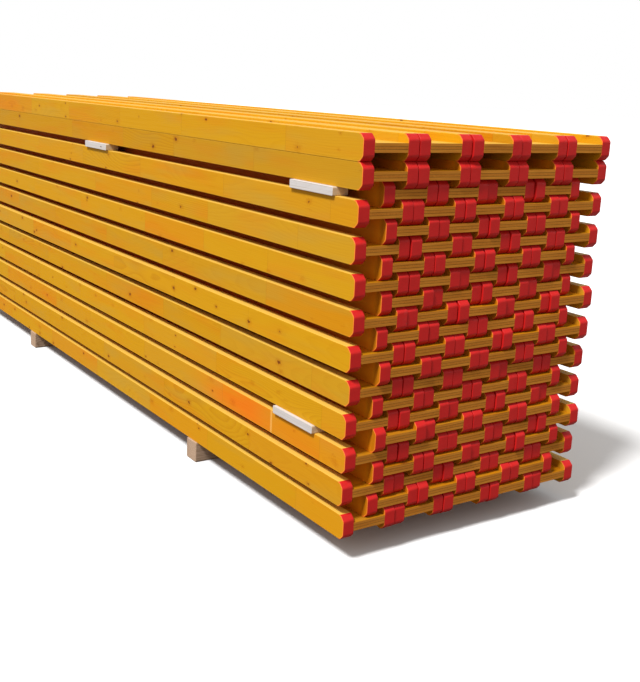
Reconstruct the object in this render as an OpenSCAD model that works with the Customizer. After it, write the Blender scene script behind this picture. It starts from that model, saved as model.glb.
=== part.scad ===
// Stack of timber formwork beams. Every beam is an I section of two solid flanges and a
// ply web, laid on its side so that its web is level. The rows nest: a row's flanges lie
// in the recesses between the flanges of the row below, and the last row lies flange on
// flange. Along X run the beams, with their near ends at +X. Units are millimetres.

/* [Beam] */
// Length of one beam
beam_length = 3900; // [2450:50:5900]
// Depth of the I section, outside the flanges (it lies across the stack)
beam_depth = 200; // [190:1:240]
// Width of a flange (it stands upright in the stack)
flange_width = 80; // [60:1:100]
// Thickness of a flange
flange_thickness = 40; // [30:1:42]
// Thickness of the ply web
web_thickness = 27; // [16:1:36]
// Chamfer on the two corners of each flange end
end_chamfer = 16; // [8:1:24]
// Length of each softened crease at the ends of the chamfer
chamfer_softening = 3; // [1:0.5:5]

/* [Stack] */
// Number of nested rows, full and offset rows in turn
nested_rows = 21; // [9:2:21]
// Number of beams in a full row
beams_in_full_row = 5; // [2:1:8]
// Usual gap between the flanges of two neighbouring beams
pair_gap = 3; // [2:0.5:7]
// Share of the sideways play by which a full row strays
full_row_share = 0.2; // [0:0.05:0.3]
// Share of the sideways play by which an offset row strays
offset_row_share = 0.55; // [0:0.05:0.6]
// How far a whole row strays endways
row_stagger = 7; // [0:0.5:20]
// How far the beams of a row stray endways from each other
beam_stagger = 4; // [0:0.5:12]
// Number that picks the sideways pattern
sideways_seed = 676; // [1:1:999]
// Number that picks the endways pattern
endways_seed = 815; // [1:1:999]

/* [Spacer blocks] */
// Length of a short block, along the beams
short_block = 235; // [80:5:300]
// Length of the long block, along the beams
long_block = 240; // [80:5:300]
// Distance from the near ends to the middle of the upper short block
upper_block_at = 235; // [160:5:400]
// Distance from the near ends to the middle of the long block
long_block_at = 1940; // [700:10:2200]
// Distance from the near ends to the middle of the lower short block
lower_block_at = 290; // [160:5:400]
// How far a block reaches in from the side
block_depth = 46; // [30:1:50]
// How far a block stands out of the side
block_proud = 10; // [0:1:20]

/* [Bearers] */
// Width of a bearer, along the beams
bearer_width = 78; // [50:1:140]
// Height of a bearer
bearer_height = 80; // [50:1:140]
// Distance from a bearer's middle to the beam ends
bearer_inset = 1010; // [300:10:1100]

/* [Hidden] */
rows = nested_rows + 1;
last_nested = nested_rows - 1;
numbers = [for (row = [0:rows - 1]) str(row < 9 ? "0" : "", row + 1)];

yellow = [0.88, 0.65, 0.18];
red = [0.72, 0.13, 0.16];
brown = [0.60, 0.45, 0.18];
raw_wood = [0.86, 0.84, 0.80];
sawn_wood = [0.72, 0.60, 0.50];

// Length of a flange end that is shaped, and painted
tip_length = end_chamfer + chamfer_softening;

// The rows lie a nesting pitch apart, and the last one a whole flange above its neighbour.
nest_pitch = (flange_width + web_thickness) / 2;
beam_pitch = beam_depth + pair_gap;
recess = beam_depth - 2 * flange_thickness;
// Sideways play of a flange pair in its recess, which the irregular places share
play = (recess - 2 * flange_thickness - pair_gap) / 2;
beam_share = 0.1;
// Least gap between two flanges of a pair
least_gap = 1;
beam_shift = min(beam_share * play, (pair_gap - least_gap) / 2);

// Clear height between the outer flanges of two full rows, which a spacer block fills
block_height = 2 * nest_pitch - flange_width;
// Offset rows that the spacer blocks are level with, counted from the lowest row
upper_block_row = last_nested - 1;
lower_block_row = 2 * floor(nested_rows / 8) + 1;

function is_full(row) = row == rows - 1 || row % 2 == 0;
function beams_in(row) = is_full(row) ? beams_in_full_row : beams_in_full_row - 1;
function row_height(row) =
    bearer_height + flange_width / 2 + min(row, last_nested) * nest_pitch
    + (row == rows - 1 ? flange_width : 0);
function row_shift(row) =
    (is_full(row) ? full_row_share : offset_row_share) * play
    * rands(-1, 1, rows, sideways_seed)[row];
function beam_y(row, beam) =
    (beam - (beams_in(row) - 1) / 2) * beam_pitch + row_shift(row)
    + beam_shift * rands(-1, 1, beams_in(row), sideways_seed + row + 1)[beam];
function beam_x(row, beam) =
    row_stagger * rands(-1, 1, rows, endways_seed)[row]
    + beam_stagger * rands(-1, 1, beams_in(row), endways_seed + row + 1)[beam];

// Lower half of the side view of a flange end, from its end face round the chamfer
function softened_corner(side) =
    let (
        x = beam_length / 2,
        z = flange_width / 2,
        c = end_chamfer,
        s = chamfer_softening,
        t = s * sqrt(0.5)
    )
    [
        [side * x, -z + c + s], [side * (x - 0.15 * s), -z + c + 0.35 * s],
        [side * (x - t), -z + c - t], [side * (x - c + t), -z + t],
        [side * (x - c - 0.35 * s), -z + 0.15 * s], [side * (x - tip_length), -z]
    ];
function reversed(points) = [for (i = [len(points) - 1:-1:0]) points[i]];
function upside_down(points) = [for (p = points) [p[0], -p[1]]];

module flange_tip(side) {
    corner = softened_corner(side);
    rotate([90, 0, 0]) linear_extrude(flange_thickness, center = true)
        polygon(concat(corner, reversed(upside_down(corner))));
}

// A flange is one piece of wood, red where its ends are painted.
module flange() {
    union() {
        color(yellow)
            cube([beam_length - 2 * tip_length, flange_thickness, flange_width], center = true);
        color(red) for (side = [-1, 1]) flange_tip(side);
    }
}

// The web reaches from flange to flange. Its glued joints meet the flanges face to face.
module web() {
    cube([beam_length, recess, web_thickness], center = true);
}

module at_beams(row) {
    for (beam = [0:beams_in(row) - 1])
        translate([beam_x(row, beam), beam_y(row, beam), row_height(row)]) children();
}

module layer_flanges(row) {
    at_beams(row)
        for (side = [-1, 1])
            translate([0, side * (beam_depth - flange_thickness) / 2, 0]) flange();
}

module layer_webs(row) {
    color(brown) at_beams(row) web();
}

// A spacer block fills the height between the outer flanges of the full rows below and
// above an offset row, and stands out of the side of the stack.
module spacer_block(row, from_near_end, length) {
    outer_face = min(beam_y(row - 1, 0), beam_y(row + 1, 0)) - beam_depth / 2;
    translate([
        beam_length / 2 - from_near_end - length / 2,
        outer_face - block_proud,
        row_height(row) - block_height / 2
    ]) cube([length, block_proud + block_depth, block_height]);
}

module spacer_blocks() {
    color(raw_wood) {
        spacer_block(upper_block_row, upper_block_at, short_block);
        spacer_block(upper_block_row, long_block_at, long_block);
        spacer_block(lower_block_row, lower_block_at, short_block);
    }
}

module bearers() {
    width = beams_in_full_row * beam_pitch;
    color(sawn_wood)
        for (side = [-1, 1])
            translate([side * (beam_length / 2 - bearer_inset), 0, bearer_height / 2])
                cube([bearer_width, width, bearer_height], center = true);
}

for (row = [0:rows - 1]) {
    layer_flanges(row);
    layer_webs(row);
}
spacer_blocks();
bearers();
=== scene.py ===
"""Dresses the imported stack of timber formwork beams: glazed flanges with painted ends, ply
webs, spacer blocks and bearers, on a pale floor in soft light."""

import math

import bpy
import numpy as np
from bpy.props import FloatProperty, FloatVectorProperty, IntProperty, PointerProperty
from bpy.types import Operator, Panel, PropertyGroup
from mathutils import Matrix, Vector


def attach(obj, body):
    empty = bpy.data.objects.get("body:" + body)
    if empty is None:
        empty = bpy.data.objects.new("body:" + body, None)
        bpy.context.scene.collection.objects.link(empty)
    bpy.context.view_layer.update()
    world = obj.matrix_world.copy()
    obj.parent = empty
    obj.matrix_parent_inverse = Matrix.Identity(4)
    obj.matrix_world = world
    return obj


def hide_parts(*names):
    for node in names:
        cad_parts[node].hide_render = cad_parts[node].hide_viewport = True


bl_info = {
    "name": "Formwork Beam Stack",
    "version": (1, 0, 0),
    "blender": (4, 5, 0),
    "location": "3D View > Sidebar > Beam Stack",
    "description": "Builds the detailed beams, blocks and bearers around the packed stack",
    "category": "Object",
}

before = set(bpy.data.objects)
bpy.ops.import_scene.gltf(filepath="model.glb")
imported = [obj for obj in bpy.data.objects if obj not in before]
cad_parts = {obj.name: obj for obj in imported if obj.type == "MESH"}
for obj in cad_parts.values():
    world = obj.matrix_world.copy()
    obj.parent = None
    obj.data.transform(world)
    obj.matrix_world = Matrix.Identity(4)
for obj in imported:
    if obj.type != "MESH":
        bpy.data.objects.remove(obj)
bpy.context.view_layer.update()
BODY = "root"
FLANGE_NODES = sorted(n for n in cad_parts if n.endswith("_flanges"))
WEB_NODES = sorted(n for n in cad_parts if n.endswith("_webs"))


def display_colour(red, green, blue):
    """A colour given in display steps from 0 to 255, as the scene-linear colour that
    Blender's shaders take: ((c + 0.055) / 1.055) to the power 2.4 above a small toe."""
    steps = [c / 255 for c in (red, green, blue)]
    return tuple(c / 12.92 if c <= 0.04045 else ((c + 0.055) / 1.055) ** 2.4 for c in steps)


def colour_property(name, description, display):
    """A user's colour, with its default given in display steps."""
    return FloatVectorProperty(
        name=name, description=description, subtype="COLOR", size=3, min=0.0, max=1.0,
        default=display_colour(*display),
    )


def length_property(name, description, default):
    """A user's length in metres."""
    return FloatProperty(
        name=name, description=description, default=default, min=0.0, unit="LENGTH"
    )


def angle_property(name, description, default):
    """A user's angle."""
    return FloatProperty(name=name, description=description, default=default, subtype="ANGLE")


def place_property(name, description, default):
    """A user's place or direction in the frame."""
    return FloatVectorProperty(name=name, description=description, default=default, subtype="XYZ")


# ---- reading the frame


def node_points(node):
    """The corner points of a CAD node and, for each, the number of the solid it is on.
    Points at one place are merged, and a number spreads along edges until all agree."""
    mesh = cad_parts[node].data
    places = np.empty(len(mesh.vertices) * 3)
    mesh.vertices.foreach_get("co", places)
    points, same = np.unique(places.reshape(-1, 3).round(6), axis=0, return_inverse=True)
    edges = np.empty(len(mesh.edges) * 2, dtype=np.int64)
    mesh.edges.foreach_get("vertices", edges)
    first, second = same.reshape(-1)[edges].reshape(-1, 2).T
    solid = np.arange(len(points))
    while True:
        lowest = np.minimum(solid[first], solid[second])
        spread = solid.copy()
        np.minimum.at(spread, first, lowest)
        np.minimum.at(spread, second, lowest)
        if (spread == solid).all():
            return points, solid
        solid = spread


def solid_boxes(node):
    """The lowest and highest corner of each solid in a CAD node, ordered across, along
    and up the stack."""
    points, solid = node_points(node)
    boxes = [
        (points[solid == number].min(0), points[solid == number].max(0))
        for number in np.unique(solid)
    ]
    return sorted(boxes, key=lambda box: (round(box[0][1], 4), box[0][0], box[0][2]))


def beam_half_length():
    """Half the length of a beam."""
    low, high = solid_boxes(WEB_NODES[0])[0]
    return float(high[0] - low[0]) / 2


def cad_chamfer():
    """Size of the 45 degree cuts at a flange's ends. Each cut is a line x + z = a constant,
    which is half the length plus half the width, less the size of the cut."""
    points, solid = node_points(FLANGE_NODES[0])
    one = points[solid == solid[0]]
    centre = (one.min(0) + one.max(0)) / 2
    reach = np.abs(one - centre)
    return float((reach.max(0)[0] + reach.max(0)[2]) - (reach[:, 0] + reach[:, 2]).max())


# ---- settings


class BeamSettings(PropertyGroup):
    """Sizes of the beams' fine shape."""

    chamfer: length_property("Chamfer", "Cut on the corners of a flange's end", cad_chamfer())
    crease_reach: length_property(
        "Crease reach", "How far the rounding of a chamfer's crease reaches", 0.005
    )
    arris: length_property("Arris", "Radius of a flange's long edges", 0.0012)
    border: length_property(
        "Border", "Width of the rubbed border along the edges of a flat face", 0.0035
    )
    close_gap: length_property(
        "Close gap", "Paint runs in between two flanges that stand nearer than this", 0.02
    )
    paint_run: length_property("Paint run", "How far paint runs into such a gap", 0.03)
    web_arris: length_property("Web arris", "Radius of a web's edges", 0.0006)
    block_corner: length_property("Block corner", "Rounding at a spacer block's ends", 0.004)
    block_arris: length_property("Block arris", "Radius of a spacer block's edges", 0.0012)
    bearer_corner: length_property("Bearer corner", "Rounding of a bearer's long edges", 0.006)
    bearer_arris: length_property("Bearer arris", "Radius at a bearer's ends", 0.002)
    ply_groove: length_property(
        "Ply groove", "Depth of the groove at a glue line in a web's end", 0.0007
    )
    plies: IntProperty(name="Plies", description="Plies in a web", default=3, min=1, max=9)
    board_length: length_property(
        "Board length", "Usual length between two finger joints of a flange", 0.62
    )
    stain_from: length_property(
        "Stain from", "Where the stained board of the outer flange begins", 0.43
    )
    stain_to: length_property("Stain to", "Where that stain has faded out", 1.12)
    pale_joint: length_property(
        "Pale joint", "Length of the pale finger joint at the stained board", 0.012
    )
    seed: IntProperty(name="Seed", description="Picks the run of the grain", default=7)
    tone_seed: IntProperty(
        name="Tone seed", description="Picks which beams have a darker glaze", default=3520
    )


class TimberColours(PropertyGroup):
    """Colours of the timber, glaze and paint."""

    glaze: colour_property("Glaze", "Usual yellow of the glazed flanges", (214, 156, 20))
    glaze_warm: colour_property("Warm glaze", "Orange of the warmest boards", (221, 138, 17))
    glaze_pale: colour_property("Pale glaze", "Straw of the palest boards", (201, 155, 50))
    # Painted highlight: a lighter yellow on upper faces, standing in for the light that falls on
    # them
    glaze_bleached: colour_property(
        "Bleached glaze", "Light yellow of the upper faces in the weather", (234, 192, 88)
    )
    # Painted shade: a deep orange that stands in for the shade on faces within the stack
    glaze_painted_shade: colour_property(
        "Sheltered glaze", "Deep orange where no sun reaches the glaze", (250, 152, 18)
    )
    stain: colour_property("Stain", "Dark orange of the stained board", (238, 124, 22))
    stain_joint: colour_property("Stain joint", "Pale wood at the stain's joint", (244, 182, 92))
    knot: colour_property("Knot", "Heart of a knot", (124, 62, 18))
    paint: colour_property("Paint", "Red of the painted ends", (205, 31, 29))
    # Partly thin paint over the arris, partly a painted highlight on it
    paint_edge_and_highlight: colour_property("Paint line", "Orange at the edge of the paint", (250, 138, 52))
    paint_worn: colour_property("Worn paint", "Red where it is rubbed", (206, 60, 58))
    ply_light: colour_property("Light ply", "Light grain of a bare web end", (210, 140, 50))
    ply_dark: colour_property("Dark ply", "Dark grain of a bare web end", (182, 112, 36))
    glue: colour_property("Glue line", "Glue between two plies", (72, 44, 16))
    block: colour_property("Block", "Pale raw wood of the spacer blocks", (214, 208, 206))
    block_grain: colour_property("Block grain", "Grain of the blocks", (196, 186, 174))
    block_end: colour_property("Block end", "End wood of the blocks", (214, 186, 146))
    bearer: colour_property("Bearer", "Sawn wood of the bearers", (205, 176, 150))
    bearer_grain: colour_property("Bearer grain", "Grain of the bearers", (150, 116, 90))


class StageSettings(PropertyGroup):
    """Floor, light and camera."""

    floor: colour_property("Floor", "Colour of the floor", (250, 250, 250))
    floor_bounce: colour_property("Floor bounce", "Floor as it lights the stack", (120, 116, 112))
    sky: FloatProperty(name="Sky", description="Light from all round", default=0.55, min=0.0)
    sun: FloatProperty(name="Sun", description="Light from one side", default=3.8, min=0.0)
    sun_spread: angle_property("Sun spread", "Width of the soft light", math.radians(12))
    sun_from: place_property(
        "Sun from", "Direction that the soft light comes from", (0.2, -0.66, 0.98)
    )
    eye: place_property("Eye", "Place of the camera", (4.218, -2.178, 1.433))
    target: place_property("Target", "Point that the camera looks at", (1.664, -0.422, 0.639))
    roll: angle_property("Roll", "Turn of the camera about its own axis", 0.0453)
    lens: FloatProperty(
        name="Lens", description="Focal length", subtype="DISTANCE_CAMERA", default=52.68
    )


# ---- shapes


def rounded_corners(corners, reach, steps=3):
    """Each corner b, with a and c the points that lie reach before and after it, becomes
    the curve (1 - t)^2 a + 2 t (1 - t) b + t^2 c, for t from 0 to 1."""
    before = np.roll(corners, 1, axis=0) - corners
    after = np.roll(corners, -1, axis=0) - corners
    before /= np.linalg.norm(before, axis=1, keepdims=True)
    after /= np.linalg.norm(after, axis=1, keepdims=True)
    t = np.linspace(0.0, 1.0, steps)[None, :, None]
    a, c = (corners[:, None] + arm[:, None] * reach for arm in (before, after))
    b = corners[:, None]
    return ((1 - t) ** 2 * a + 2 * t * (1 - t) * b + t**2 * c).reshape(-1, 2)


def moved_in(outline, distance):
    """An outline with every side moved inwards by a distance. A corner between sides with
    outward normals m and n moves by -(m + n) / (1 + m . n) times the distance."""
    side = np.roll(outline, -1, axis=0) - outline
    normal = np.stack([side[:, 1], -side[:, 0]], axis=1)
    normal /= np.linalg.norm(normal, axis=1, keepdims=True)
    last = np.roll(normal, 1, axis=0)
    share = 1 + (last * normal).sum(axis=1, keepdims=True)
    return outline - distance * (last + normal) / share


def carried_outline(outline, half, arris, border, steps=3):
    """An outline in X and Z carried along Y from -half to half, its rims turned over by a
    quarter circle: at angle a the outline is moved in by arris (1 - sin a) and stands
    arris (1 - cos a) short of the flat face. If border is set, one more ring lies that much
    further in on each flat face. Returns the rings' points, which rings are on the turn of
    a rim, the quads between rings, and the two faces inside the last rings."""
    angle = np.linspace(0.0, math.pi / 2, steps)
    inwards = arris * (1 - np.sin(angle))
    place = half - arris * (1 - np.cos(angle))
    turned = np.arange(steps) < steps - 1
    if border:
        inwards = np.insert(inwards, 0, arris + border)
        place = np.insert(place, 0, half)
        turned = np.insert(turned, 0, False)
    inwards = np.concatenate([inwards, inwards[::-1]])
    place = np.concatenate([-place, place[::-1]])
    turned = np.concatenate([turned, turned[::-1]])
    rings = np.stack([
        np.insert(moved_in(outline, distance), 1, y, axis=1)
        for distance, y in zip(inwards, place)
    ])
    count = len(outline)
    ring = np.arange(len(rings) - 1)[:, None] * count
    here = np.arange(count)[None, :]
    ahead = np.roll(here, -1, axis=1)
    onwards = ring + count
    quads = np.stack([onwards + here, onwards + ahead, ring + ahead, ring + here], axis=2)
    first_face = np.arange(count)[::-1]
    last_face = (len(rings) - 1) * count + np.arange(count)
    return rings, turned, quads, (first_face, last_face)


def flange_outline(length, width, cut, reach):
    """Side view of a flange: a long rectangle with its four corners cut at 45 degrees and
    the creases of each cut rounded."""
    x, z = length / 2, width / 2
    corners = np.array([
        (-x + cut, -z), (x - cut, -z), (x, -z + cut), (x, z - cut),
        (x - cut, z), (-x + cut, z), (-x, z - cut), (-x, -z + cut),
    ])
    return rounded_corners(corners, reach, steps=5)


def web_outline(length, thickness, plies, groove):
    """Side view of a web: a long rectangle whose ends have a small V at each glue line."""
    x, z = length / 2, thickness / 2
    lines = np.linspace(-z, z, plies + 1)[1:-1]
    zig = np.stack([lines - groove, lines, lines + groove], axis=1).ravel()
    depth = np.tile([0.0, groove, 0.0], len(lines))
    right_end = np.stack([x - depth, zig], axis=1)
    return np.concatenate([[(x, -z)], right_end, [(x, z)], [(-x, z)], -right_end, [(-x, -z)]])


def block_outline(length, height, reach):
    """A rectangle with its corners rounded off."""
    x, z = length / 2, height / 2
    return rounded_corners(np.array([(-x, -z), (x, -z), (x, z), (-x, z)]), reach)


# Values kept with each point: on a turned rim; run along the solid, from -1 to 1; on a side
# with a close neighbour; facing into the stack, where shade is painted; share of the painted
# highlight on upper faces; stained; chance tone
MARKS = ("rim", "run", "spill", "inner", "bleach", "stained", "tone")
# How far the timber's pattern may shift from solid to solid, in metres
PATTERN_SHIFT = (40.0, 0.12, 0.12)
# A side of an outline that is shorter than this, in metres, lies on a rounding
ROUNDING_SIDE = 0.004
# Share of the half length past which a side of an outline belongs to its end
END_SHARE = 0.9


def end_quads(outline, strips, first_turn, close):
    """Which quads take the second material: those at the ends of the outline, from the
    strip after the rim's first turn on each side to the other one. Where a neighbour
    stands close, they begin on that first turn itself."""
    middle = (outline + np.roll(outline, -1, axis=0)) / 2
    reach, level = np.abs(outline).max(0)
    at_end = (np.abs(middle[:, 0]) > reach * END_SHARE) & (np.abs(middle[:, 1]) < level - 1e-6)
    from_low = np.arange(strips) - first_turn
    from_high = from_low[::-1]
    covered = (from_low >= 1 - close[0]) & (from_high >= 1 - close[1])
    return covered[:, None] & at_end[None, :]


def smooth_quads(outline, strips, bordered):
    """Which quads are shaded smooth: the turned rims and the outline's roundings. The wall
    halfway between the rims is flat elsewhere, and so are the borders of the flat faces."""
    short = np.linalg.norm(np.roll(outline, -1, axis=0) - outline, axis=1) < ROUNDING_SIDE
    strip = np.arange(strips)
    wall = strip == strips // 2
    border = bordered & ((strip == 0) | (strip == strips - 1))
    return (~wall[:, None] | short[None, :]) & ~border[:, None]


def store_values(mesh, name, values):
    """Keeps a number with each point of a mesh, for its materials."""
    kept = mesh.attributes.new(name, "FLOAT", "POINT")
    kept.data.foreach_set("value", values.astype(np.float32))


class PieceParts:
    """Gathers the solids of one piece, then makes one object of them."""

    def __init__(self, seed):
        self.points, self.timber, self.faces, self.slots, self.smooth = [], [], [], [], []
        self.count = 0
        self.values = {name: [] for name in MARKS}
        self.random = np.random.default_rng(seed)

    def add(self, box, outline, arris, border=0.0, along="X", close=(False, False), **marks):
        """Adds one solid that fills a box of the frame, with its grain along X or Y. Close
        tells whether a neighbour stands close on its low and on its high side. Marks are
        values that hold for the whole solid."""
        low, high = box
        centre, half = (low + high) / 2, (high - low) / 2
        rings, turned, quads, caps = carried_outline(outline, half[1], arris, border)
        points = rings.reshape(-1, 3)
        count, strips = len(outline), len(quads)
        own = points if along == "X" else points[:, [1, 0, 2]]
        side = np.linspace(-1, 1, len(rings))
        given = {
            "rim": np.repeat(turned, count),
            "run": points[:, 0] / half[0],
            "spill": np.repeat(np.where(side < 0, close[0], close[1]), count),
            **marks,
        }
        self.points.append(points + centre)
        self.timber.append(own + self.random.uniform(-1, 1, 3) * PATTERN_SHIFT)
        for name, kept in self.values.items():
            kept.append(np.broadcast_to(given.get(name, 0.0), len(points)))
        self.faces += (quads.reshape(-1, 4) + self.count).tolist()
        self.faces += [(cap + self.count).tolist() for cap in caps]
        first_turn = 1 if border else 0
        self.slots += [end_quads(outline, strips, first_turn, close).ravel(), [0, 0]]
        self.smooth += [smooth_quads(outline, strips, bool(border)).ravel(), [False, False]]
        self.count += len(points)

    def build(self, name, materials, replaced):
        """Makes the object, puts it on the frame's body and lets it stand for its node."""
        mesh = bpy.data.meshes.new(name)
        mesh.from_pydata(np.concatenate(self.points).tolist(), [], self.faces)
        mesh.polygons.foreach_set("material_index", np.concatenate(self.slots).astype(np.int32))
        mesh.polygons.foreach_set("use_smooth", np.concatenate(self.smooth))
        timber = mesh.attributes.new("timber", "FLOAT_VECTOR", "POINT")
        timber.data.foreach_set("vector", np.concatenate(self.timber).astype(np.float32).ravel())
        for value_name, values in self.values.items():
            store_values(mesh, value_name, np.concatenate(values))
        for material in materials:
            mesh.materials.append(material)
        mesh.validate()
        piece = bpy.data.objects.new(name, mesh)
        bpy.context.scene.collection.objects.link(piece)
        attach(piece, BODY)
        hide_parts(replaced)
        return piece


# ---- shader helpers

FLOAT, VECTOR = "NodeSocketFloat", "NodeSocketVector"
ZERO = (0.0, 0.0, 0.0)


def place_node(tree, kind, inputs=None, **settings):
    """Adds a shader node of a kind. Inputs are values or other nodes' outputs, by socket
    name or number."""
    made = tree.nodes.new("ShaderNode" + kind)
    for key, value in settings.items():
        setattr(made, key, value)
    for key, value in (inputs or {}).items():
        socket = made.inputs[key]
        if isinstance(value, bpy.types.NodeSocket):
            tree.links.new(value, socket)
        else:
            socket.default_value = value
    return made


def maths(tree, operation, first, second=0.0):
    """One step of arithmetic on numbers."""
    node = place_node(tree, "Math", {0: first, 1: second}, operation=operation)
    return node.outputs[0]


def times(tree, first, second):
    """One number times another."""
    return maths(tree, "MULTIPLY", first, second)


def plus(tree, first, second):
    """One number added to another."""
    return maths(tree, "ADD", first, second)


def vector_maths(tree, operation, first, second=ZERO):
    """One step of arithmetic on vectors."""
    node = place_node(tree, "VectorMath", {0: first, 1: second}, operation=operation)
    return node.outputs["Value" if operation == "LENGTH" else "Vector"]


def span(tree, value, low, high, to_low=0.0, to_high=1.0, smooth=True):
    """A value's run from low to high, carried over to another run and held at its ends."""
    node = place_node(
        tree,
        "MapRange",
        {"Value": value, "From Min": low, "From Max": high, "To Min": to_low, "To Max": to_high},
        interpolation_type="SMOOTHSTEP" if smooth else "LINEAR",
    )
    return node.outputs["Result"]


def falling(tree, value, low, high):
    """A share that is full up to low and gone from high on."""
    return span(tree, value, low, high, 1.0, 0.0)


def noise(tree, place, scale, detail=1.0):
    """Smooth chance values over space, with one scale or with one for each direction."""
    if isinstance(scale, tuple):
        place, scale = vector_maths(tree, "MULTIPLY", place, scale), 1.0
    inputs = {"Vector": place, "Scale": scale, "Detail": detail}
    return place_node(tree, "TexNoise", inputs)


def channels(tree, colour):
    """The three numbers that a colour holds."""
    return place_node(tree, "SeparateColor", {0: colour}).outputs


def axes(tree, vector):
    """A vector's X, Y and Z."""
    return place_node(tree, "SeparateXYZ", {0: vector}).outputs


def centred(tree, colour):
    """A chance colour as a vector with each part from -0.5 to 0.5."""
    return vector_maths(tree, "SUBTRACT", colour, (0.5, 0.5, 0.5))


def blended(tree, share, first, second, mode="MIX"):
    """Two colours mixed by a share. Each is three numbers or another node's output."""
    first, second = (
        colour if isinstance(colour, bpy.types.NodeSocket) else (*colour, 1.0)
        for colour in (first, second)
    )
    factor_socket, first_socket, second_socket, mixed_socket = 0, 6, 7, 2
    inputs = {factor_socket: share, first_socket: first, second_socket: second}
    node = place_node(tree, "Mix", inputs, data_type="RGBA", blend_type=mode)
    return node.outputs[mixed_socket]


def darkened(tree, share, colour, kept):
    """A colour of which, where share is full, only a part of each channel is kept."""
    return blended(tree, share, colour, kept, "MULTIPLY")


def new_group(name, inputs, outputs):
    """An empty shader node group. Inputs give name to (socket type, default), outputs
    name to socket type. Returns its tree, what comes in by name, and its output node."""
    tree = bpy.data.node_groups.new(name, "ShaderNodeTree")
    for label, (kind, default) in inputs.items():
        socket = tree.interface.new_socket(name=label, in_out="INPUT", socket_type=kind)
        socket.default_value = default
    for label, kind in outputs.items():
        tree.interface.new_socket(name=label, in_out="OUTPUT", socket_type=kind)
    return tree, tree.nodes.new("NodeGroupInput").outputs, tree.nodes.new("NodeGroupOutput")


def put_out(tree, out, values):
    """Joins values to a group's outputs by name, and returns the finished group."""
    for label, value in values.items():
        tree.links.new(value, out.inputs[label])
    return tree


def board_group():
    """Finger-jointed boards: the run along the timber falls into boards of uneven length,
    each with its own chance values. A joint zigzags across the thickness."""
    tree, given, out = new_group(
        "Jointed boards",
        {"Timber": (VECTOR, ZERO), "Board length": (FLOAT, 0.6)},
        {"Tone": FLOAT, "Second tone": FLOAT, "Shift": VECTOR, "Joint": FLOAT},
    )
    finger_length, finger_pitch, unevenness = 0.009, 0.004, 0.85
    place = axes(tree, given["Timber"])
    zigzag = maths(tree, "PINGPONG", place["Y"], finger_pitch)
    zigzag = times(tree, zigzag, finger_length / finger_pitch)
    run = maths(tree, "DIVIDE", plus(tree, place["X"], zigzag), given["Board length"])
    inputs = {"W": run, "Scale": 1.0, "Randomness": unevenness}
    cell, edge = (
        place_node(tree, "TexVoronoi", inputs, voronoi_dimensions="1D", feature=feature)
        for feature in ("F1", "DISTANCE_TO_EDGE")
    )
    chance = channels(tree, cell.outputs["Color"])
    from_joint = times(tree, edge.outputs["Distance"], given["Board length"])
    return put_out(tree, out, {
        "Tone": chance[0],
        "Second tone": chance[1],
        "Shift": centred(tree, cell.outputs["Color"]),
        "Joint": falling(tree, from_joint, 0.0004, 0.0013),
    })


def grain_group():
    """Growth rings, fine streaks and slow clouds. Rings are shells about a pith line that
    wanders and ripples as it runs along the timber, so a flat face cuts them into long
    arches: each darkens as its share of the ring width to the power 2.2, then ends.
    Streaks and clouds are noise drawn out along the timber."""
    tree, given, out = new_group(
        "Timber grain",
        {"Timber": (VECTOR, ZERO), "Shift": (VECTOR, ZERO), "Ring width": (FLOAT, 0.006)},
        {"Rings": FLOAT, "Streaks": FLOAT, "Cloud": FLOAT, "Second cloud": FLOAT},
    )
    board_shift = (3.0, 0.12, 0.12)
    wander, wander_reach = (1.5, 0.5, 0.5), (0.0, 0.11, 0.11)
    ripple, ripple_reach = (5.0, 40.0, 40.0), (0.0, 0.006, 0.006)
    streaks, clouds = (5.0, 500.0, 500.0), (2.2, 13.0, 13.0)
    moved = vector_maths(tree, "MULTIPLY", given["Shift"], board_shift)
    place = vector_maths(tree, "ADD", given["Timber"], moved)
    bent = place
    for scale, reach in ((wander, wander_reach), (ripple, ripple_reach)):
        sway = centred(tree, noise(tree, place, scale).outputs["Color"])
        sway = vector_maths(tree, "MULTIPLY", sway, reach)
        bent = vector_maths(tree, "ADD", bent, sway)
    across = vector_maths(tree, "MULTIPLY", bent, (0.0, 1.0, 1.0))
    radius = vector_maths(tree, "LENGTH", across)
    ring = maths(tree, "FRACT", maths(tree, "DIVIDE", radius, given["Ring width"]))
    late_wood = maths(tree, "POWER", ring, 2.2)
    chance = channels(tree, noise(tree, place, clouds, 2.0).outputs["Color"])
    return put_out(tree, out, {
        "Rings": times(tree, late_wood, falling(tree, ring, 0.88, 1.0)),
        "Streaks": noise(tree, place, streaks, 3.0).outputs["Fac"],
        "Cloud": chance[0],
        "Second cloud": chance[1],
    })


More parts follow.
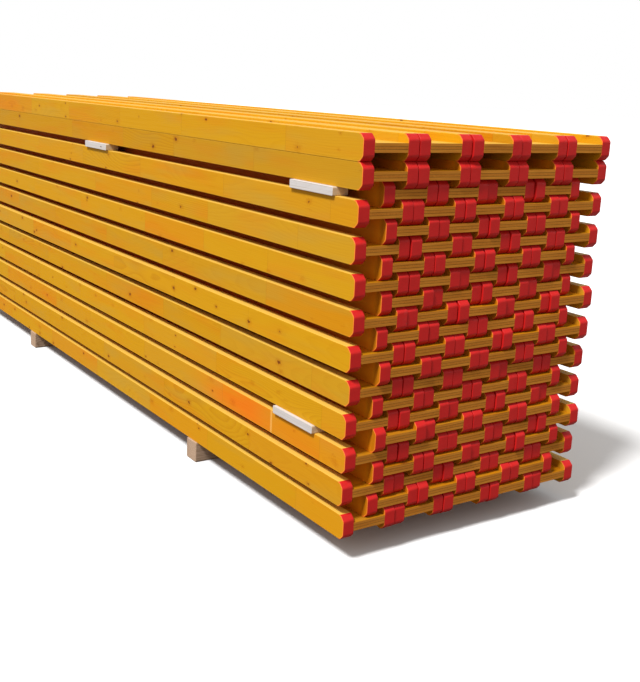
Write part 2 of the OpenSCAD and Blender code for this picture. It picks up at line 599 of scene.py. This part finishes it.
def knot_group():
    """Small knots: chance points in a lattice drawn out along the timber, kept where the
    cell's chance value is high. Distances to them are taken in metres, and count half
    along the timber, so a knot is longer than wide."""
    tree, given, out = new_group(
        "Knots",
        {"Timber": (VECTOR, ZERO), "Share": (FLOAT, 0.4), "Radius": (FLOAT, 0.006)},
        {"Heart": FLOAT, "Halo": FLOAT},
    )
    cell_size, counted = (0.2, 0.03, 0.05), (0.5, 0.4, 0.85)
    to_cells = tuple(1 / size for size in cell_size)
    place = vector_maths(tree, "MULTIPLY", given["Timber"], to_cells)
    inputs = {"Vector": place, "Scale": 1.0, "Randomness": 1.0}
    cell = place_node(tree, "TexVoronoi", inputs)
    apart = vector_maths(tree, "SUBTRACT", place, cell.outputs["Position"])
    apart = vector_maths(tree, "MULTIPLY", apart, cell_size)
    distance = vector_maths(tree, "LENGTH", vector_maths(tree, "MULTIPLY", apart, counted))
    wobble = noise(tree, given["Timber"], 180.0)
    uneven = span(tree, wobble.outputs["Fac"], 0.3, 0.7, 0.7, 1.3, smooth=False)
    chance = channels(tree, cell.outputs["Color"])
    kept = maths(tree, "GREATER_THAN", chance[0], maths(tree, "SUBTRACT", 1.0, given["Share"]))
    size = times(tree, given["Radius"], plus(tree, chance[1], 0.45))
    relative = maths(tree, "DIVIDE", times(tree, distance, uneven), size)
    return put_out(tree, out, {
        "Heart": times(tree, falling(tree, relative, 0.55, 1.1), kept),
        "Halo": times(tree, falling(tree, relative, 0.9, 3.0), kept),
    })


def rub_group():
    """Handling marks: patches of a broad noise broken up by a close one, and rims that are
    rubbed where the close noise is high. More patches come from a lower least value."""
    tree, given, out = new_group(
        "Rubbed edges",
        {"Place": (VECTOR, ZERO), "Rim": (FLOAT, 0.0), "Patches": (FLOAT, 0.3)},
        {"Rubbed": FLOAT},
    )
    broad = noise(tree, given["Place"], 9.0, 4.0).outputs["Fac"]
    close = noise(tree, given["Place"], 70.0, 3.0).outputs["Fac"]
    least = maths(tree, "SUBTRACT", 0.78, times(tree, given["Patches"], 0.2))
    patch = span(tree, broad, least, plus(tree, least, 0.12))
    patch = times(tree, patch, span(tree, close, 0.4, 0.6))
    worn_rim = times(tree, given["Rim"], span(tree, close, 0.3, 0.6))
    return put_out(tree, out, {"Rubbed": maths(tree, "MAXIMUM", patch, worn_rim)})


GROUPS = {}


def use_group(tree, make, inputs):
    """Places a shared group in a material. It is made when it is first asked for."""
    if make not in GROUPS:
        GROUPS[make] = make()
    return place_node(tree, "Group", inputs, node_tree=GROUPS[make]).outputs


def new_material(name, roughness, specular):
    """A material with its own Principled shader. Returns it with its tree and shader."""
    material = bpy.data.materials.new(name)
    material.use_nodes = True
    tree = material.node_tree
    shader = tree.nodes["Principled BSDF"]
    shader.inputs["Roughness"].default_value = roughness
    shader.inputs["Specular IOR Level"].default_value = specular
    return material, tree, shader


def attribute(tree, name, output="Fac"):
    """A value stored on the piece's points."""
    return place_node(tree, "Attribute", attribute_name=name).outputs[output]


def join_shader(tree, shader, height, distance, strength, **surface):
    """Joins colour, and roughness where it varies, to the shader, and height as a bump on
    its normal."""
    inputs = {"Height": height, "Distance": distance, "Strength": strength}
    surface["normal"] = place_node(tree, "Bump", inputs).outputs["Normal"]
    sockets = {"colour": "Base Color", "rough": "Roughness", "normal": "Normal"}
    for name, value in surface.items():
        tree.links.new(value, shader.inputs[sockets[name]])


# ---- materials

# Runs of chance values and, where two more numbers follow, what they are carried to
WARM_BOARDS, ORANGE_BOARDS = (0.35, 1.0, 0.0, 0.42), (0.87, 0.88, 0.0, 0.12)
PALE_BOARDS, DARK_BEAMS = (0.5, 1.0, 0.0, 0.3), (0.5, 1.0)
WARM_CLOUDS, PALE_CLOUDS = (0.46, 0.76, 0.0, 0.62), (0.48, 0.75, 0.0, 0.6)
FIGURED_BOARDS = (0.1, 0.16, 0.5, 0.17)
GLAZE_STREAKS, SAWN_STREAKS = (0.5, 0.8, 0.0, 0.25), (0.4, 0.7, 0.0, 0.5)
GLAZE_ROUGHNESS, PAINT_ROUGHNESS = (0.3, 0.7, 0.42, 0.58), (0.3, 0.7, 0.35, 0.55)
# How far a face turns upwards, and metres from the end: run of the painted highlight on upper
# faces, of the painted shade at the tips and of the painted shade further in
UPWARDS, SHADED_TIPS, SHADE = (0.6, 0.9), (0.015, 0.04), (0.0, 0.45)
GLAZED_KNOTS, SAWN_KNOTS = {"Share": 0.36, "Radius": 0.0042}, {"Share": 0.2, "Radius": 0.007}
# Share of each channel that darkened wood or paint keeps
DARK_BEAM = (0.85, 0.8, 0.7)
DARK_GRAIN = (0.74, 0.55, 0.34)
DARK_HALO = (0.8, 0.6, 0.4)
DARK_JOINT = (0.6, 0.45, 0.3)
# Painted shade at the tips of faces within the stack
SHADE_AT_TIP = (0.62, 0.6, 0.7)
DARK_PLY = (0.84, 0.76, 0.66)
DARK_SAWN = (0.75, 0.72, 0.7)
DARK_PAINT = (0.7, 0.7, 0.55)
# Painted shade on faces deeper within the stack
SHADE_IN_FLANGE_GAP = (0.8, 0.42, 0.2)
SHADE_IN_WEB_GAP = (0.7, 0.45, 0.3)
# Share of the deep orange painted shade on faces that look into the stack
FLANGE_SHADE_TONE, WEB_SHADE_TONE = 0.85, 0.3


def glazed_spruce(name, colours, beams, jointed=True):
    """Yellow glaze over spruce: its tones, then the wood's own marks, wear, a painted highlight
    on upper faces, painted shade on faces within the stack, and on jointed flanges stain and
    paint with an orange edge line that is partly a painted highlight. Streaks vary the gloss and,
    with rings and open joints, the height."""
    material, tree, shader = new_material(name, roughness=0.5, specular=0.07)
    timber = attribute(tree, "timber", "Vector")
    board = use_group(tree, board_group, {"Timber": timber, "Board length": beams.board_length})
    grain = use_group(tree, grain_group, {"Timber": timber, "Shift": board["Shift"]})
    colour = glaze_tones(tree, colours, board, grain)
    if jointed:
        stained, pale_joint = stain(tree, beams, grain["Cloud"])
        colour = blended(tree, stained, colour, colours.stain)
        colour = blended(tree, pale_joint, colour, colours.stain_joint)
    colour = wood_marks(tree, colours, colour, timber, board, grain, jointed)
    colour = rubbed_and_top_lit(tree, colours, colour, timber)
    colour = painted_stack_shade(tree, colours, colour, jointed)
    if jointed:
        # Orange line at the paint's edge, partly a painted highlight
        colour = blended(tree, paint_edge_and_highlight(tree, beams, timber), colour, colours.paint_edge_and_highlight)
        colour = blended(tree, paint_run(tree, beams, timber), colour, colours.paint)
    rough = span(tree, grain["Streaks"], *GLAZE_ROUGHNESS)
    height = plus(tree, times(tree, grain["Rings"], 0.5), grain["Streaks"])
    height = maths(tree, "SUBTRACT", height, times(tree, board["Joint"], 0.8))
    join_shader(tree, shader, height, distance=0.0003, strength=0.6, colour=colour, rough=rough)
    return material


def glaze_tones(tree, colours, board, grain):
    """The glaze's own colour. Boards differ a little and a few are orange, slow clouds turn
    it warm here and pale there, and a few whole beams are darker."""
    warm = span(tree, board["Tone"], *WARM_BOARDS)
    warm = plus(tree, warm, span(tree, board["Tone"], *ORANGE_BOARDS))
    warm = plus(tree, warm, span(tree, grain["Cloud"], *WARM_CLOUDS))
    colour = blended(tree, warm, colours.glaze, colours.glaze_warm)
    pale = span(tree, board["Second tone"], *PALE_BOARDS)
    pale = plus(tree, pale, span(tree, grain["Second cloud"], *PALE_CLOUDS))
    colour = blended(tree, pale, colour, colours.glaze_pale)
    deep = span(tree, attribute(tree, "tone"), *DARK_BEAMS)
    return darkened(tree, deep, colour, DARK_BEAM)


def wood_marks(tree, colours, colour, timber, board, grain, jointed):
    """Rings, strong on a few boards, then streaks, knots and, on flanges, finger joints."""
    knot = use_group(tree, knot_group, {"Timber": timber, **GLAZED_KNOTS})
    figured = span(tree, board["Second tone"], *FIGURED_BOARDS)
    rings = times(tree, grain["Rings"], figured)
    streaks = span(tree, grain["Streaks"], *GLAZE_STREAKS)
    colour = darkened(tree, plus(tree, rings, streaks), colour, DARK_GRAIN)
    colour = darkened(tree, times(tree, knot["Halo"], 0.5), colour, DARK_HALO)
    colour = blended(tree, knot["Heart"], colour, colours.knot)
    if jointed:
        colour = darkened(tree, times(tree, board["Joint"], 0.4), colour, DARK_JOINT)
    return colour


def rubbed_and_top_lit(tree, colours, colour, timber):
    """Light where it is rubbed, and a painted highlight: lighter yellow on faces that turn
    upwards, where the light falls on them.
    """
    rub = use_group(tree, rub_group, {"Place": timber, "Rim": attribute(tree, "rim")})
    light_edge = [min(1.0, part * 1.3) for part in colours.glaze_pale]
    colour = blended(tree, times(tree, rub["Rubbed"], 0.35), colour, light_edge)
    # Painted highlight: faces that turn upwards become a lighter yellow
    normal = place_node(tree, "NewGeometry").outputs["True Normal"]
    upwards = span(tree, axes(tree, normal)["Z"], *UPWARDS)
    bleached = times(tree, upwards, attribute(tree, "bleach"))
    return blended(tree, bleached, colour, colours.glaze_bleached)


def painted_stack_shade(tree, colours, colour, jointed):
    """Painted shade on faces that look into the stack: a deep orange for their shade, more
    painted shade at the tips, and less light the further in they lie."""
    inner = attribute(tree, "inner")
    from_end = from_nearest_end(tree)
    share = times(tree, inner, FLANGE_SHADE_TONE if jointed else WEB_SHADE_TONE)
    colour = blended(tree, share, colour, colours.glaze_painted_shade)
    tip_shade = times(tree, inner, falling(tree, from_end, *SHADED_TIPS))
    colour = darkened(tree, tip_shade, colour, SHADE_AT_TIP)
    shade = times(tree, inner, span(tree, from_end, *SHADE))
    return darkened(tree, shade, colour, SHADE_IN_FLANGE_GAP if jointed else SHADE_IN_WEB_GAP)


def stain(tree, beams, cloud):
    """Shares of the dark orange board on the stained flange and of its pale finger joint.
    The stain is full a little way past the joint, fades out along the beam, and has crept
    thinly over the joint to the end at +X. Clouds thin it here and there."""
    from_end = maths(tree, "SUBTRACT", 1.0, attribute(tree, "run"))
    from_end = times(tree, from_end, beam_half_length())
    begun = maths(tree, "GREATER_THAN", from_end, beams.stain_from)
    full_from = beams.stain_from + 0.25 * (beams.stain_to - beams.stain_from)
    rising = span(tree, from_end, beams.stain_from, full_from, 0.6, 1.0)
    share = maths(tree, "MAXIMUM", times(tree, begun, rising), 0.4)
    share = times(tree, share, falling(tree, from_end, full_from, beams.stain_to))
    share = times(tree, share, span(tree, cloud, 0.3, 0.6, 0.6, 1.0))
    from_joint = maths(tree, "ABSOLUTE", maths(tree, "SUBTRACT", from_end, beams.stain_from))
    joint = span(tree, from_joint, 0.3 * beams.pale_joint, 0.6 * beams.pale_joint, 0.75, 0.0)
    stained = attribute(tree, "stained")
    return times(tree, share, stained), times(tree, joint, stained)


def from_nearest_end(tree):
    """Distance in metres to the nearer end of the beam."""
    share = maths(tree, "SUBTRACT", 1.0, maths(tree, "ABSOLUTE", attribute(tree, "run")))
    return times(tree, share, beam_half_length())


def paint_edge_and_highlight(tree, beams, timber):
    """Share of the thin orange line along the edge of an end's paint, on the turned rim: partly
    thin paint over the arris, partly a painted highlight where it catches the light.
    """
    line = span(tree, attribute(tree, "rim"), 0.1, 0.6)
    painted = beams.chamfer + beams.crease_reach + beams.border
    near = maths(tree, "LESS_THAN", from_nearest_end(tree), painted)
    strength = span(tree, noise(tree, timber, 90.0, 2.0).outputs["Fac"], 0.3, 0.6, 0.6, 1.0)
    return times(tree, times(tree, line, near), strength)


def paint_run(tree, beams, timber):
    """Share of paint on the face of a close gap. Its edge wavers about paint_run from the
    end."""
    waver = noise(tree, timber, 60.0, 2.0).outputs["Fac"]
    edge = span(tree, waver, 0.3, 0.7, 0.7 * beams.paint_run, 1.3 * beams.paint_run)
    wet = maths(tree, "LESS_THAN", from_nearest_end(tree), edge)
    close = maths(tree, "GREATER_THAN", attribute(tree, "spill"), 0.98)
    return times(tree, wet, close)


def end_paint(name, colours):
    """Red paint brushed over sawn end wood: uneven cover, rubbed high spots, a coarse
    surface under a satin film."""
    material, tree, shader = new_material(name, roughness=0.42, specular=0.26)
    timber = attribute(tree, "timber", "Vector")
    rub = use_group(tree, rub_group, {"Place": timber, "Patches": 0.6})
    cover = noise(tree, timber, 26.0, 4.0).outputs["Fac"]
    bristles = noise(tree, timber, (500.0, 60.0, 500.0), 2.0).outputs["Fac"]
    thin = span(tree, cover, 0.35, 0.7, to_high=0.22)
    colour = darkened(tree, thin, colours.paint, DARK_PAINT)
    colour = blended(tree, times(tree, rub["Rubbed"], 0.45), colour, colours.paint_worn)
    rough = span(tree, cover, *PAINT_ROUGHNESS)
    height = plus(tree, bristles, cover)
    join_shader(tree, shader, height, distance=0.0008, strength=0.5, colour=colour, rough=rough)
    return material


def ply_end(name, colours, beams):
    """Bare end of a web. The outer plies show long grain across the web and the inner ones
    end grain, with a dark glue line between two plies. The height in the web, counted in
    plies, folds back at each half ply, which gives the distance to the nearest line."""
    material, tree, shader = new_material(name, roughness=0.8, specular=0.1)
    timber = attribute(tree, "timber", "Vector")
    height_in_plies = times(tree, attribute(tree, "ply"), float(beams.plies))
    from_line = maths(tree, "PINGPONG", height_in_plies, 0.5)
    from_face = maths(tree, "PINGPONG", height_in_plies, beams.plies / 2)
    glue = times(tree, falling(tree, from_line, 0.03, 0.085), span(tree, from_face, 0.2, 0.4))
    inner_ply = span(tree, from_face, 0.98, 1.02)
    long_grain = noise(tree, timber, (30.0, 9.0, 700.0), 4.0).outputs["Fac"]
    end_grain = noise(tree, timber, (30.0, 260.0, 320.0), 3.0).outputs["Fac"]
    grains = {
        0: inner_ply,
        2: span(tree, long_grain, 0.35, 0.7),
        3: span(tree, end_grain, 0.3, 0.7, 0.45, 1.0),
    }
    dark = place_node(tree, "Mix", grains).outputs[0]
    colour = blended(tree, dark, colours.ply_light, colours.ply_dark)
    slow = noise(tree, timber, 5.0).outputs["Fac"]
    tone = span(tree, slow, 0.35, 0.65, to_high=0.45)
    colour = darkened(tree, tone, colour, DARK_PLY)
    colour = blended(tree, times(tree, glue, 0.85), colour, colours.glue)
    height = plus(tree, long_grain, end_grain)
    join_shader(tree, shader, height, distance=0.0004, strength=0.5, colour=colour)
    return material


def sawn_wood(name, light, dark, ring_width, ring_share):
    """Raw sawn wood: rings, streaks, saw marks across the run and a dry, matt surface. The
    saw marks are the sine of the run times saw_turns."""
    material, tree, shader = new_material(name, roughness=0.85, specular=0.2)
    saw_turns, knot_heart = 1400.0, (0.14, 0.07, 0.04)
    timber = attribute(tree, "timber", "Vector")
    grain = use_group(tree, grain_group, {"Timber": timber, "Ring width": ring_width})
    knot = use_group(tree, knot_group, {"Timber": timber, **SAWN_KNOTS})
    rings = times(tree, grain["Rings"], ring_share)
    streaks = span(tree, grain["Streaks"], *SAWN_STREAKS)
    colour = blended(tree, plus(tree, rings, streaks), light, dark)
    shade = span(tree, grain["Cloud"], 0.35, 0.7, to_high=0.35)
    colour = darkened(tree, shade, colour, DARK_SAWN)
    colour = blended(tree, times(tree, knot["Heart"], 0.7), colour, knot_heart)
    saw = maths(tree, "SINE", times(tree, axes(tree, timber)["X"], saw_turns))
    height = plus(tree, grain["Streaks"], times(tree, saw, 0.12))
    join_shader(tree, shader, height, distance=0.001, strength=0.8, colour=colour)
    return material


# ---- operators


# Added to the seed, so that no two pieces share a pattern
WEB_SEED, BLOCK_SEED, BEARER_SEED = 100, 200, 300
# Share of the painted highlight on upper faces, on the top row and on the outer flanges below it
TOP_ROW_LIGHT, OUTER_FLANGE_LIGHT = 0.4, 0.8


def piece_name(node):
    """layer_01_flanges becomes row_01_flanges."""
    return node.replace("layer", "row")


def stack_settings(context):
    """The sizes and the colours that the user sets."""
    return context.scene.beam_stack_beams, context.scene.beam_stack_colours


def beam_tones(beams):
    """A chance value for each beam, by row and place in the row."""
    most = len(solid_boxes(WEB_NODES[0]))
    return np.random.default_rng(beams.tone_seed).uniform(size=(len(WEB_NODES), most))


def row_under_lowest_block():
    """The row of flanges that carries the lowest spacer block: the one whose top is nearest
    in height to the block's underside."""
    block = min(low[2] for low, high in solid_boxes("spacer_blocks"))
    tops = {node: solid_boxes(node)[0][1][2] for node in FLANGE_NODES}
    return min(tops, key=lambda node: abs(tops[node] - block))


class BEAMSTACK_OT_flanges(Operator):
    """Build the glazed flanges with their chamfered, painted ends"""

    bl_idname = "beam_stack.flanges"
    bl_label = "Flanges"

    def execute(self, context):
        beams, colours = stack_settings(context)
        materials = [
            glazed_spruce("glazed_spruce", colours, beams),
            end_paint("end_paint", colours),
        ]
        stained_node = row_under_lowest_block()
        in_full_row = len(solid_boxes(FLANGE_NODES[0]))
        tones = beam_tones(beams)
        for row, node in enumerate(FLANGE_NODES):
            parts = PieceParts(beams.seed + row)
            boxes = solid_boxes(node)
            top_row = node == FLANGE_NODES[-1]
            gaps = [after[0][1] - before[1][1] for before, after in zip(boxes, boxes[1:])]
            close = [False, *(bool(gap < beams.close_gap) for gap in gaps), False]
            for number, (low, high) in enumerate(boxes):
                length, _, width = high - low
                outermost = len(boxes) == in_full_row and number in (0, len(boxes) - 1)
                parts.add(
                    (low, high),
                    flange_outline(length, width, beams.chamfer, beams.crease_reach),
                    beams.arris,
                    beams.border,
                    close=(close[number], close[number + 1]),
                    # Faces within the stack take the painted shade
                    inner=float(not outermost and not top_row),
                    # Share of the painted highlight on its upper faces
                    bleach=TOP_ROW_LIGHT if top_row else OUTER_FLANGE_LIGHT * outermost,
                    stained=float(number == 0 and node == stained_node),
                    tone=tones[row, number // 2],
                )
            parts.build(piece_name(node), materials, node)
        return {"FINISHED"}


class BEAMSTACK_OT_webs(Operator):
    """Build the ply webs with their bare ends"""

    bl_idname = "beam_stack.webs"
    bl_label = "Webs"

    def execute(self, context):
        beams, colours = stack_settings(context)
        materials = [
            glazed_spruce("glazed_ply", colours, beams, jointed=False),
            ply_end("ply_end", colours, beams),
        ]
        tones = beam_tones(beams)
        for row, node in enumerate(WEB_NODES):
            parts = PieceParts(beams.seed + WEB_SEED + row)
            top_row = node == WEB_NODES[-1]
            for number, (low, high) in enumerate(solid_boxes(node)):
                length, _, thickness = high - low
                parts.add(
                    (low, high),
                    web_outline(length, thickness, beams.plies, beams.ply_groove),
                    beams.web_arris,
                    # Faces within the stack take the painted shade
                    inner=float(not top_row),
                    # Share of the painted highlight on its upper faces
                    bleach=TOP_ROW_LIGHT * top_row,
                    tone=tones[row, number],
                )
            piece = parts.build(piece_name(node), materials, node)
            heights = np.concatenate(parts.points)[:, 2]
            store_values(piece.data, "ply", (heights - heights.min()) / np.ptp(heights))
        return {"FINISHED"}


class BEAMSTACK_OT_blocks(Operator):
    """Build the pale spacer blocks"""

    bl_idname = "beam_stack.blocks"
    bl_label = "Spacer blocks"

    def execute(self, context):
        beams, colours = stack_settings(context)
        grain = colours.block_grain
        side = sawn_wood("raw_block", colours.block, grain, ring_width=0.004, ring_share=0.2)
        end = sawn_wood("block_end", colours.block_end, grain, ring_width=0.003, ring_share=0.6)
        parts = PieceParts(beams.seed + BLOCK_SEED)
        for low, high in solid_boxes("spacer_blocks"):
            length, _, height = high - low
            outline = block_outline(length, height, beams.block_corner)
            parts.add((low, high), outline, beams.block_arris)
        parts.build("sawn_blocks", [side, end], "spacer_blocks")
        return {"FINISHED"}


class BEAMSTACK_OT_bearers(Operator):
    """Build the two sawn bearers"""

    bl_idname = "beam_stack.bearers"
    bl_label = "Bearers"

    def execute(self, context):
        beams, colours = stack_settings(context)
        grain = colours.bearer_grain
        wood = sawn_wood("sawn_bearer", colours.bearer, grain, ring_width=0.0055, ring_share=0.8)
        parts = PieceParts(beams.seed + BEARER_SEED)
        for low, high in solid_boxes("bearers"):
            width, _, height = high - low
            outline = block_outline(width, height, beams.bearer_corner)
            parts.add((low, high), outline, beams.bearer_arris, along="Y")
        parts.build("sawn_bearers", [wood], "bearers")
        return {"FINISHED"}


class BEAMSTACK_OT_stage(Operator):
    """Lay the floor and set the light and the camera"""

    bl_idname = "beam_stack.stage"
    bl_label = "Stage"

    def execute(self, context):
        scene, stage = context.scene, context.scene.beam_stack_stage
        self.lay_floor(scene, stage)
        self.light(scene, stage)
        self.place_camera(scene, stage)
        scene.view_settings.view_transform = "Standard"
        return {"FINISHED"}

    def lay_floor(self, scene, stage):
        """A flat square far wider than the stack, a hair below its bearers."""
        half, drop = 60.0, 0.0005
        turns = ((-1, -1), (1, -1), (1, 1), (-1, 1))
        mesh = bpy.data.meshes.new("floor")
        mesh.from_pydata([(x * half, y * half, -drop) for x, y in turns], [], [(0, 1, 2, 3)])
        material, tree, shader = new_material("floor", roughness=0.9, specular=0.0)
        seen = place_node(tree, "LightPath").outputs["Is Camera Ray"]
        colour = blended(tree, seen, stage.floor_bounce, stage.floor)
        tree.links.new(colour, shader.inputs["Base Color"])
        mesh.materials.append(material)
        floor = bpy.data.objects.new("floor", mesh)
        scene.collection.objects.link(floor)

    def light(self, scene, stage):
        """Even light from all round, white where the camera sees it, and one wide soft light
        from above the long side."""
        world = bpy.data.worlds.new("studio")
        world.use_nodes = True
        scene.world = world
        tree = world.node_tree
        seen = place_node(tree, "LightPath").outputs["Is Camera Ray"]
        strength = span(tree, seen, 0.0, 1.0, stage.sky, 1.0, smooth=False)
        background = tree.nodes["Background"]
        background.inputs["Color"].default_value = (1.0, 1.0, 1.0, 1.0)
        tree.links.new(strength, background.inputs["Strength"])
        lamp = bpy.data.lights.new("soft_sun", "SUN")
        lamp.energy, lamp.angle = stage.sun, stage.sun_spread
        sun = bpy.data.objects.new("soft_sun", lamp)
        sun.rotation_mode = "QUATERNION"
        sun.rotation_quaternion = Vector(stage.sun_from).to_track_quat("Z", "Y")
        scene.collection.objects.link(sun)

    def place_camera(self, scene, stage):
        """Looks from eye to target, then turns about that line by roll."""
        data = bpy.data.cameras.new("camera")
        data.lens, data.clip_end = stage.lens, 200.0
        camera = bpy.data.objects.new("camera", data)
        eye, target = Vector(stage.eye), Vector(stage.target)
        turn = (target - eye).to_track_quat("-Z", "Y").to_matrix().to_4x4()
        roll = Matrix.Rotation(stage.roll, 4, "Z")
        camera.matrix_world = Matrix.Translation(eye) @ turn @ roll
        scene.collection.objects.link(camera)
        scene.camera = camera


class BEAMSTACK_PT_panel(Panel):
    """Lists the stack's settings and steps in the sidebar"""

    bl_idname = "BEAMSTACK_PT_panel"
    bl_label = "Beam Stack"
    bl_space_type = "VIEW_3D"
    bl_region_type = "UI"
    bl_category = "Beam Stack"

    def draw(self, context):
        layout = self.layout
        for operator in OPERATORS:
            layout.operator(operator.bl_idname)
        for settings in SETTINGS:
            group, box = getattr(context.scene, settings), layout.box()
            for name in group.bl_rna.properties.keys():
                if name not in {"rna_type", "name"}:
                    box.prop(group, name)


OPERATORS = (
    BEAMSTACK_OT_flanges,
    BEAMSTACK_OT_webs,
    BEAMSTACK_OT_blocks,
    BEAMSTACK_OT_bearers,
    BEAMSTACK_OT_stage,
)
SETTINGS = {
    "beam_stack_beams": BeamSettings,
    "beam_stack_colours": TimberColours,
    "beam_stack_stage": StageSettings,
}


def register():
    for cls in (*SETTINGS.values(), *OPERATORS, BEAMSTACK_PT_panel):
        bpy.utils.register_class(cls)
    for name, cls in SETTINGS.items():
        setattr(bpy.types.Scene, name, PointerProperty(type=cls))


def unregister():
    for name in SETTINGS:
        delattr(bpy.types.Scene, name)
    for cls in (BEAMSTACK_PT_panel, *OPERATORS[::-1], *SETTINGS.values()):
        bpy.utils.unregister_class(cls)


def main():
    """Builds every piece and the stage."""
    register()
    bpy.ops.beam_stack.flanges()
    bpy.ops.beam_stack.webs()
    bpy.ops.beam_stack.blocks()
    bpy.ops.beam_stack.bearers()
    bpy.ops.beam_stack.stage()
    bpy.context.view_layer.update()


if __name__ == "__main__":
    main()
